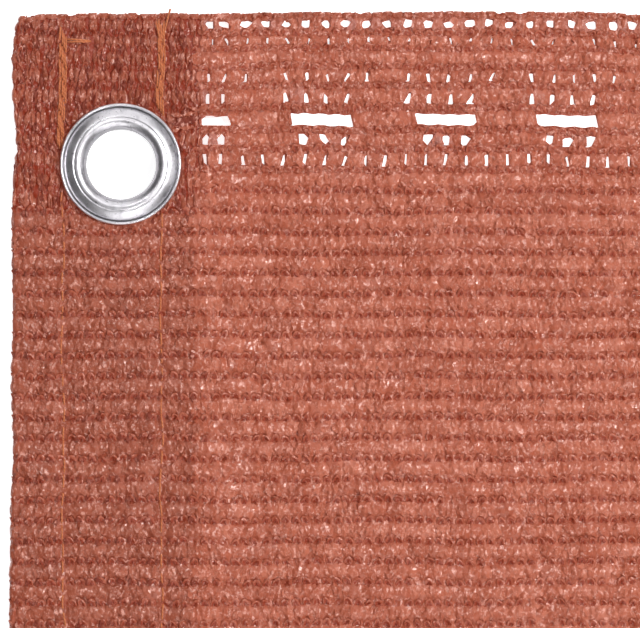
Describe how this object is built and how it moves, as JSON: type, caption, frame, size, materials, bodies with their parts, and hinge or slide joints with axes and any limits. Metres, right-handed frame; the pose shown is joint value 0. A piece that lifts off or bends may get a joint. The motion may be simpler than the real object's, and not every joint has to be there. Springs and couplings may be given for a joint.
{
  "type": "balcony privacy screen corner",
  "caption": "Top left corner of a knitted plastic-tape balcony privacy screen with an openwork band, a folded and stitched side hem and a metal eyelet, lying flat.",
  "frame": {"origin": "middle of the outer box at the underside of the cloth", "axes": "+X across the cloth away from its folded edge, +Y up towards its top edge, +Z out of its shown face"},
  "size_m": [0.1752, 0.1684, 0.0055],
  "materials": {
    "screen_tape": "knitted from flat glossy plastic tape, crumpled, terracotta",
    "hem_tape": "the same knit in two layers, a little darker",
    "eyelet_metal": "plated steel, satin to bright, faintly marked",
    "sewing_thread": "twisted synthetic sewing thread, orange"
  },
  "bodies": {
    "root": {"screen_cloth": "screen_tape", "side_hem": "hem_tape", "eyelet_front": "eyelet_metal", "eyelet_back": "eyelet_metal"}
  },
  "joints": []
}
